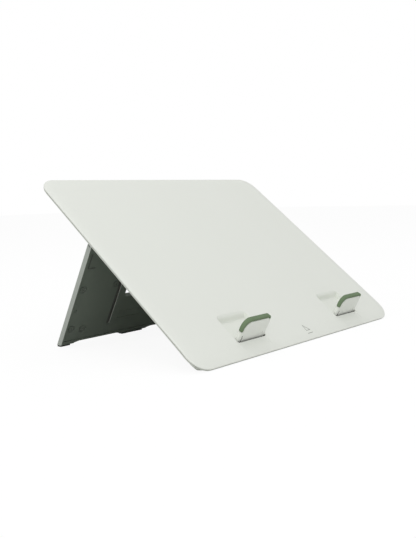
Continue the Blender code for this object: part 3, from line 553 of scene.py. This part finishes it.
def screw_points(head_height, length, sectors=40):
    """Rings from the middle of the head outwards, over its dome, round its edge, and down the shank.

    Dome: height x (1 - share (r / R)^2). Cross: lowered where |x| or |y| is under the arm's width."""
    radius = np.array(HEAD_RINGS)
    height = head_height * (1 - DOME * (radius / HEAD) ** 2)
    height[-1] = 0.0
    radius = np.concatenate([radius, [SHANK, SHANK, SHANK * 0.6, 0.0]])
    height = np.concatenate([height, [0.0, -length + TIP, -length, -length]])
    angle = np.linspace(0, 2 * math.pi, sectors, endpoint=False)
    x, y = radius[:, None] * np.cos(angle), radius[:, None] * np.sin(angle)
    z = np.repeat(height[:, None], sectors, axis=1)
    arms = np.maximum(*(soft_step((CROSS_ARM + 0.1 - np.abs(way)) / 0.2) for way in (x, y)))
    cross = arms * soft_step((CROSS_REACH - radius[:, None]) / 0.5) * (z > 0)
    return np.stack([x, y, z - CROSS_DEEP * cross], axis=-1)


# %% Every screw at its place
FACING = {"-z": ((1, 0, 0), (0, -1, 0), (0, 0, -1)), "-y": ((1, 0, 0), (0, 0, 1), (0, -1, 0))}


def screw(node, body, place, facing, head_height, turn):
    """A screw as long as the frame's solid; its head looks along the last of the three `facing` ways."""
    solid = np.empty(len(frame["nodes"][node].data.vertices) * 3)
    frame["nodes"][node].data.vertices.foreach_get("co", solid)
    solid = place.local(solid.reshape(-1, 3))
    across, up, head_way = np.array(FACING[facing], float)
    reach = solid @ head_way
    length = reach.max() - reach.min() - head_height
    centre = (solid.max(axis=0) + solid.min(axis=0)) / 2 + head_way * (length - head_height) / 2
    points = screw_points(head_height, length)
    c, s = math.cos(turn), math.sin(turn)
    turned = np.stack([c * across + s * up, c * up - s * across, head_way])
    numbers = np.arange(points[..., 0].size).reshape(points.shape[:2])
    points = place.world(points @ turned + centre)
    piece = mesh_piece(f"{node}_fine", points, [quads(numbers, closed=True)], body)
    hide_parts(node)
    return piece


KINDS = {"cover_screw": ("board", BOARD, "-z", 1.2), "bracket_screw": ("board", BOARD, "-z", 1.2),
         "leg_screw": ("leg", LEG, "-y", 1.0)}
rng = np.random.default_rng(7)
screws = []
for node in sorted(frame["nodes"]):
    turn = rng.uniform(0, math.pi / 2)
    for start, (body, place, facing, head_height) in KINDS.items():
        if node.startswith(start):
            screws.append(screw(node, body, place, facing, head_height, turn))
print(f"{len(screws)} screws of {len(screws[0].data.vertices)} points")

# %% [markdown]
# ## Small hardware
#
# The hinge brackets, pins, friction washers and rubber feet are turned or moulded blocks. New meshes
# could be made from their profiles, but the frame's solids already have the right shape and place. A
# small radius on their edges is all that they need, and the smallest parts get the smallest one.

# %% Brackets, pins, washers and feet
hardware = []
for node in sorted(frame["nodes"]):
    if node.startswith("hinge_bracket"):
        hardware.append(eased_copy(node, f"{node}_eased", "board", "bracket_plastic", 0.25, 2))
    elif "pin" in node:
        hardware.append(eased_copy(node, f"{node}_eased", "board", "steel", 0.2, 2))
    elif "washer" in node:
        hardware.append(eased_copy(node, f"{node}_eased", "board", "bronze", 0.1, 2))
    elif "foot" in node:
        body = "leg" if node.startswith("leg") else "board"
        hardware.append(eased_copy(node, f"{node}_eased", body, "foot_rubber", 0.2, 2))
print("hardware:", len(hardware))

# %% [markdown]
# ## Finishes
#
# A material is a net of nodes. They could be added and linked one by one, but a short sum would then
# fill many lines, and arithmetic reads best as arithmetic. `Wire` stands for one output of a node, and
# its operators add Math nodes, so `1 - mask` is an expression here too. `Finish` is one material: its
# `node` method makes any node from its type, its settings and what its sockets get.

# %% Wires and finishes
class Wire:
    """An output socket, with arithmetic."""

    def __init__(self, finish, socket):
        self.finish = finish
        self.socket = socket

    def math(self, operation, *others):
        """A Math node on this output and others."""
        values = dict(enumerate((self,) + others))
        return self.finish.node("ShaderNodeMath", {"operation": operation}, values)

    def __add__(self, other):
        return self.math("ADD", other)

    __radd__ = __add__

    def __mul__(self, other):
        return self.math("MULTIPLY", other)

    __rmul__ = __mul__

    def __sub__(self, other):
        return self.math("SUBTRACT", other)

    def __rsub__(self, other):
        return self.finish.node("ShaderNodeMath", {"operation": "SUBTRACT"}, {0: other, 1: self})


class Finish:
    """One material, made of nodes."""

    def __init__(self, name):
        self.material = bpy.data.materials.new(name)
        self.material.use_nodes = True
        self.tree = self.material.node_tree
        self.tree.nodes.clear()

    def node(self, kind, settings=(), sockets=(), output=0):
        """A node of a kind, with its settings, then its sockets' values or wires. Gives one output."""
        made = self.tree.nodes.new(kind)
        for name, value in dict(settings).items():
            if name == "stops":
                ramp = made.color_ramp
                for element, (at, grey) in zip(ramp.elements, value):
                    element.position = at
                    element.color = (grey, grey, grey, 1)
            else:
                setattr(made, name, value)
        for name, value in dict(sockets).items():
            if isinstance(value, Wire):
                self.tree.links.new(value.socket, made.inputs[name])
            else:
                made.inputs[name].default_value = value
        return Wire(self, made.outputs[output]) if len(made.outputs) else made

    def noise(self, size_mm, detail=2.0, roughness=0.5, stretch=(1, 1, 1)):
        """Noise whose blobs are about size_mm across, 0 to 1, on the object's own coordinates."""
        where = self.node("ShaderNodeTexCoord", output=3)
        where = self.node("ShaderNodeMapping", {}, {"Vector": where, "Scale": stretch})
        sockets = {"Vector": where, "Scale": 1 / (size_mm * MM), "Detail": detail, "Roughness": roughness}
        return self.node("ShaderNodeTexNoise", {}, sockets)

    def ramp(self, value, start, end):
        """0 below start, 1 above end, straight between."""
        settings = {"stops": [(start, 0.0), (end, 1.0)]}
        return self.node("ShaderNodeValToRGB", settings, {0: value})

    def blend(self, share, first, second):
        """A colour between two colours."""
        sockets = {0: share, 6: self.colour(first), 7: self.colour(second)}
        return self.node("ShaderNodeMix", {"data_type": "RGBA"}, sockets, output=2)

    def colour(self, value):
        """What a colour socket takes: a wire as it is, or three numbers with full alpha."""
        return value if isinstance(value, Wire) else (*value, 1.0)

    def bump(self, height, distance_mm, strength=1.0, under=None):
        """A normal from a height that counts distance_mm at 1, over another normal if one is given."""
        sockets = {"Height": height, "Distance": distance_mm * MM, "Strength": strength}
        if under is not None:
            sockets["Normal"] = under
        return self.node("ShaderNodeBump", {}, sockets)

    def surface(self, **sockets):
        """Ends the material in one Principled shader. Underscores in the names stand for spaces."""
        named = {name.replace("_", " "): value for name, value in sockets.items()}
        shader = self.node("ShaderNodeBsdfPrincipled", {}, named)
        self.node("ShaderNodeOutputMaterial", {}, {"Surface": shader})
        return self.material


# %% [markdown]
# ## Moulded plastic
#
# The pale top is a matt, slightly warm grey-green moulding. What makes it read as plastic and not as
# paper is small: a fine spark-eroded grain, faint flow marks where the colour drifts by a percent, and
# a little hand-polish in the roughness. An image could hold all this, but it would have to be laid out
# on every piece, while noise in the object's own coordinates has the same scale on all of them. The
# same recipe, with other colours, makes tray, leg and lining.

# %% Plastics
def moulded(name, colour, deeper, roughness, grain_mm=0.35, grain_height=0.012, drift=0.5):
    """Plastic with grain: colour drifts towards `deeper` on large soft noise and in rare small specks."""
    finish = Finish(name)
    flow = finish.noise(60.0, 3.0, 0.55, (1, 0.4, 0.4))
    speck = finish.ramp(finish.noise(1.1, 1.0), 0.70, 0.80)
    tone = finish.blend(flow * drift, colour, deeper)
    tone = finish.blend(speck * 0.12, tone, deeper)
    handled = finish.ramp(finish.noise(25.0, 4.0, 0.6), 0.35, 0.7)
    grain = finish.noise(grain_mm, 2.0, 0.6)
    wave = finish.noise(18.0, 1.0)
    normal = finish.bump(grain, grain_height)
    normal = finish.bump(wave, 0.02, 0.6, normal)
    rough = roughness - 0.07 * handled + 0.05 * grain
    return finish.surface(Base_Color=tone, Roughness=rough, Normal=normal, IOR=1.49)


SHELL = moulded("pale_plastic", (0.826, 0.848, 0.793), (0.798, 0.824, 0.764), 0.46)
TRAY = moulded("tray_plastic", (0.62, 0.645, 0.59), (0.58, 0.608, 0.55), 0.50)
LEG_PALE = moulded("leg_plastic", (0.40, 0.43, 0.39), (0.36, 0.39, 0.35), 0.50)
# The lining's own dark plastic; the same finish on the leg frame's front faces is painted shade.
LEG_DARK = moulded("lining_plastic", (0.135, 0.160, 0.130), (0.104, 0.126, 0.100), 0.56, 0.5, 0.02)
BRACKET = moulded("bracket_plastic", (0.115, 0.125, 0.115), (0.09, 0.10, 0.09), 0.48)
PAINTED = moulded("painted_steel", (0.120, 0.142, 0.115), (0.085, 0.100, 0.080), 0.42, 0.8, 0.01)
# A near-black finish for places in deep shade (the hinge wells, a slit in each stop, round the leg's
# pegs, beside the ribs and on the raised L): painted shade.
DEEP_SHADE = moulded("painted_deep_shade", (0.075, 0.080, 0.070), (0.055, 0.060, 0.052), 0.60)
# Pale strips along the ribs: a painted highlight.
RIB_HIGHLIGHT = moulded("painted_highlight", (0.48, 0.49, 0.45), (0.40, 0.41, 0.375), 0.50)
PRINT = moulded("grey_print", (0.42, 0.44, 0.40), (0.36, 0.38, 0.34), 0.55)
print("nodes in one plastic:", len(SHELL.node_tree.nodes))

# %% [markdown]
# ## Rubber
#
# The stops' edging and the feet are soft and dull. The plastic recipe with more roughness would come
# close, but rubber has no clear gloss at all: a fine stipple breaks up its reflections, and handling
# leaves cloudy, slightly paler patches. So it has a recipe of its own, with one stipple for both.

# %% Rubber
def rubber(name, colour, deeper, roughness):
    """Soft moulded rubber: a dull stippled skin, a little paler where it is rubbed."""
    finish = Finish(name)
    cloud = finish.noise(6.0, 4.0, 0.6)
    stipple = finish.noise(0.3, 2.0, 0.7)
    tone = finish.blend(cloud, colour, deeper)
    rough = roughness + 0.1 * stipple
    return finish.surface(Base_Color=tone, Roughness=rough, Normal=finish.bump(stipple, 0.02), IOR=1.45)


GREEN = rubber("edging_rubber", (0.165, 0.235, 0.132), (0.135, 0.200, 0.108), 0.62)
FOOT = rubber("foot_rubber", (0.035, 0.037, 0.035), (0.025, 0.026, 0.025), 0.78)
print("rubber:", GREEN.name, "and", FOOT.name)

# %% [markdown]
# ## Metal
#
# Screws and pins are zinc plated and the washers are bronze. An even metal would look like chrome. A
# drawn or turned surface has fine marks one way, so its noise is stretched along x, and a cloudy film
# lifts the roughness in patches.

# %% Metals
def metal(name, colour, deeper, roughness):
    """Plated metal: fine lengthwise draw marks and a cloudy film."""
    finish = Finish(name)
    film = finish.noise(2.5, 4.0, 0.6)
    draw = finish.noise(0.12, 2.0, 0.5, (0.05, 1, 1))
    tone = finish.blend(film, colour, deeper)
    rough = roughness + 0.12 * film + 0.06 * draw
    return finish.surface(Base_Color=tone, Metallic=1.0, Roughness=rough, Normal=finish.bump(draw, 0.004))


STEEL = metal("plated_steel", (0.62, 0.63, 0.64), (0.50, 0.51, 0.53), 0.28)
BRONZE = metal("washer_bronze", (0.60, 0.45, 0.24), (0.50, 0.36, 0.18), 0.34)
print("metal:", STEEL.name, "and", BRONZE.name)


# %% Each piece gets its finish
def paint(piece, material):
    """Gives a piece one finish."""
    piece.data.materials.clear()
    piece.data.materials.append(material)


def slot_finish(name):
    """The finish that a piece's name calls for: that of the first key found in it."""
    # The raised L and the dark rib strips get painted shade, and the pale rib strips a painted highlight.
    rules = {"board_top": SHELL, "stop_flap": SHELL, "board_tray": TRAY, "leg_frame": LEG_PALE,
             "leg_lining": LEG_DARK, "edging": GREEN, "foot": FOOT, "bracket_left": BRACKET,
             "bracket_right": BRACKET, "border_sign": PRINT, "lining_ridge": DEEP_SHADE, "rib_highlights": RIB_HIGHLIGHT,
             "rib_shade_strips": DEEP_SHADE, "leg_screw": PAINTED, "washer": BRONZE, "screw": STEEL, "pin": STEEL}
    return next(material for key, material in rules.items() if key in name)


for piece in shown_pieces():
    paint(piece, slot_finish(piece.name))

# %% [markdown]
# ## Two finishes on one piece
#
# The leg is pale on its back and sides; its front faces get the lining's dark finish, which is painted
# shade. The hinge wells, each stop's left slit and the faces round the leg's pegs get a near-black
# finish, which is painted shade too. The pieces could be cut up, or a mask could be painted on them.
# But which faces are dark follows from where a face is and which way it looks in the piece's local
# frame, and both can be taken from the mesh as whole arrays.

# %% Painted shade on the leg's front, in the wells and in the slits
def local_faces(piece, place):
    """Centres, in millimetres, and normals of a piece's faces, in a local frame."""
    centres, normals = np.empty((2, len(piece.data.polygons) * 3))
    piece.data.polygons.foreach_get("center", centres)
    piece.data.polygons.foreach_get("normal", normals)
    return place.local(centres.reshape(-1, 3)).T, place.along(normals.reshape(-1, 3)).T


def second_finish(piece, finish, chosen):
    """Gives the chosen faces another finish, and leaves the rest as they are."""
    numbers = np.empty(len(chosen), np.int32)
    piece.data.polygons.foreach_get("material_index", numbers)
    piece.data.materials.append(finish)
    numbers[chosen] = len(piece.data.materials) - 1
    piece.data.polygons.foreach_set("material_index", numbers)
    print(piece.name, "has", int(chosen.sum()), "faces in", finish.name)


# %% Painted shade on the leg's front and round its pegs
BARREL_LOW = -4.0               # above this the leg is its barrel, pale all round
PEG_OUT, PEG_DOWN = 159.8, 69.1   # from the middle, and below the hinge axis
PEG_ROOM = 2.2
(x, _, z), (nx, ny, _) = local_faces(leg_frame, LEG)
outer_side = (np.abs(x) > np.abs(x).max() - 0.5) & (np.abs(nx) > 0.7)
# The leg frame's front faces get the lining's dark finish: painted shade on a pale plastic.
second_finish(leg_frame, LEG_DARK, ~((ny > 0.5) | outer_side | (z > BARREL_LOW)))
near_peg = np.hypot(np.abs(x) - PEG_OUT, z + PEG_DOWN) < PEG_ROOM
# Faces round each peg's tip get the near-black finish: painted shade.
second_finish(leg_frame, DEEP_SHADE, near_peg & (ny < 0.5))

# %% Painted shade in the hinge wells and the stops' slits
(x, y, z), _ = local_faces(board_top, BOARD)
by_a_stop = np.min([np.abs(x - centre) for centre in STOP_CENTRES], axis=0) < POCKET_HALF + 0.5
in_trough = (y > HINGE_UP - TROUGH - WALL_RUN) & (y < FLOOR_LINE[0][0])
topside = z > plate_height(x, y) - 0.3
# The walls and floor of each hinge trough get the near-black finish: painted shade.
second_finish(board_top, DEEP_SHADE, by_a_stop & in_trough & topside & (z < -1.0))

SLIT = (15.0, 16.1)             # from the stop's middle to the left
SLIT_TOP = 6.4
for side, place in STOPS.items():
    (x, y, z), _ = local_faces(flaps[side], place)
    # Each stop's left slit gets the near-black finish: painted shade.
    second_finish(flaps[side], DEEP_SHADE, (x > -SLIT[1]) & (x < -SLIT[0]) & (z < SLIT_TOP) & (y < 0.0))

# %% [markdown]
# ## Stage, light and camera
#
# A plain pale floor and soft light from all round, stronger from above, as in a product studio. The
# room could be built of white panels, but two Light Path nodes do the same with no mesh: the camera
# sees the floor and the room as white, while the object gets back only the grey light that a matt
# floor would return, so its underside falls off into shade. Three softboxes give it a light side.

# %% Floor
bpy.ops.mesh.primitive_plane_add(size=12)
floor = bpy.context.object
floor.name = "studio_floor"
ground = Finish("studio_floor")
seen = ground.node("ShaderNodeLightPath")
matt = ground.node("ShaderNodeBsdfDiffuse", {}, {"Color": (0.93, 0.93, 0.93, 1)})
glow = ground.node("ShaderNodeEmission", {}, {"Color": (1, 1, 1, 1), "Strength": 1.02})
grey = ground.node("ShaderNodeBsdfDiffuse", {}, {"Color": (0.75, 0.75, 0.74, 1)})
bright = ground.node("ShaderNodeMixShader", {}, {0: 0.9, 1: matt, 2: glow})
plain = ground.node("ShaderNodeMixShader", {}, {0: seen, 1: grey, 2: bright})
ground.node("ShaderNodeOutputMaterial", {}, {"Surface": plain})
floor.data.materials.append(ground.material)
print("floor:", floor.name, [round(side) for side in floor.dimensions[:2]], "m")

# %% The room
AMBIENT = 0.64
world = bpy.data.worlds.new("studio")
bpy.context.scene.world = world
world.use_nodes = True
tree = world.node_tree
room = tree.nodes["Background"]
ambient = tree.nodes.new("ShaderNodeBackground")
for background, strength in ((room, 1.0), (ambient, AMBIENT)):
    background.inputs["Color"].default_value = (1, 1, 1, 1)
    background.inputs["Strength"].default_value = strength
camera_ray = tree.nodes.new("ShaderNodeLightPath")
either = tree.nodes.new("ShaderNodeMixShader")
tree.links.new(camera_ray.outputs["Is Camera Ray"], either.inputs[0])
tree.links.new(ambient.outputs[0], either.inputs[1])
tree.links.new(room.outputs[0], either.inputs[2])
tree.links.new(either.outputs[0], tree.nodes["World Output"].inputs["Surface"])
print("ambient light:", AMBIENT)


# %% Softboxes
def direction_matrix(direction):
    """The turn that makes an object's -z axis look along a direction, with its x axis level."""
    back = -direction / np.linalg.norm(direction)
    across = np.cross([0.0, 0.0, 1.0], back)
    across = across / np.linalg.norm(across)
    up = np.cross(back, across)
    return Matrix(np.stack([across, up, back], axis=-1).tolist()).to_4x4()


def softbox(name, place, target, size, power):
    """A square area light that faces a target."""
    light = bpy.data.lights.new(name, "AREA")
    light.shape = "SQUARE"
    light.size = size
    light.energy = power
    lamp = bpy.data.objects.new(name, light)
    direction = np.array(target) - np.array(place)
    lamp.matrix_world = Matrix.Translation(place) @ direction_matrix(direction)
    bpy.context.scene.collection.objects.link(lamp)
    return lamp


MIDDLE = (0, 0, 0.1)             # all three face the middle of the object
lamps = [softbox("overhead", (0.0, 0.1, 1.6), MIDDLE, 1.8, 6.5),
         softbox("front_left", (-1.2, -1.4, 1.1), MIDDLE, 1.2, 6.0),
         softbox("low_left", (-1.6, -0.4, 0.25), MIDDLE, 0.7, 2.6)]
print("softboxes:", {lamp.name: lamp.data.energy for lamp in lamps})

# %% [markdown]
# ## Camera
#
# The camera stands low at the front left corner and looks a little down. A constraint could aim it at
# the board, but it would hide the angles. Heading, tilt and bank are easy to read and change, so the
# camera's three axes are worked out from them: `level` points right without a tilt, and the bank mixes
# it with `below`.

# %% Camera
CAMERA_AT = np.array([-602.08, -503.18, 149.29]) * MM
HEADING, DOWN, BANK = (math.radians(a) for a in (-48.488, 5.856, 1.555))
LENS, SENSOR = 48.01, 36.0

ahead = np.array([-math.sin(HEADING), math.cos(HEADING), 0.0])
forward = ahead * math.cos(DOWN) - np.array([0.0, 0.0, math.sin(DOWN)])
level = np.array([math.cos(HEADING), math.sin(HEADING), 0.0])
below = np.cross(forward, level)
right = math.cos(BANK) * level + math.sin(BANK) * below
downward = math.cos(BANK) * below - math.sin(BANK) * level
lens = bpy.data.cameras.new("camera")
lens.lens = LENS
lens.sensor_width = SENSOR
lens.clip_end = 20.0
camera = bpy.data.objects.new("camera", lens)
turn = Matrix(np.stack([right, -downward, -forward], axis=-1).tolist()).to_4x4()
camera.matrix_world = Matrix.Translation(CAMERA_AT) @ turn
bpy.context.scene.collection.objects.link(camera)
bpy.context.scene.camera = camera
bpy.context.scene.view_settings.view_transform = "Standard"
print(f"camera {np.linalg.norm(CAMERA_AT):.2f} m from the middle, {LENS:.0f} mm lens")
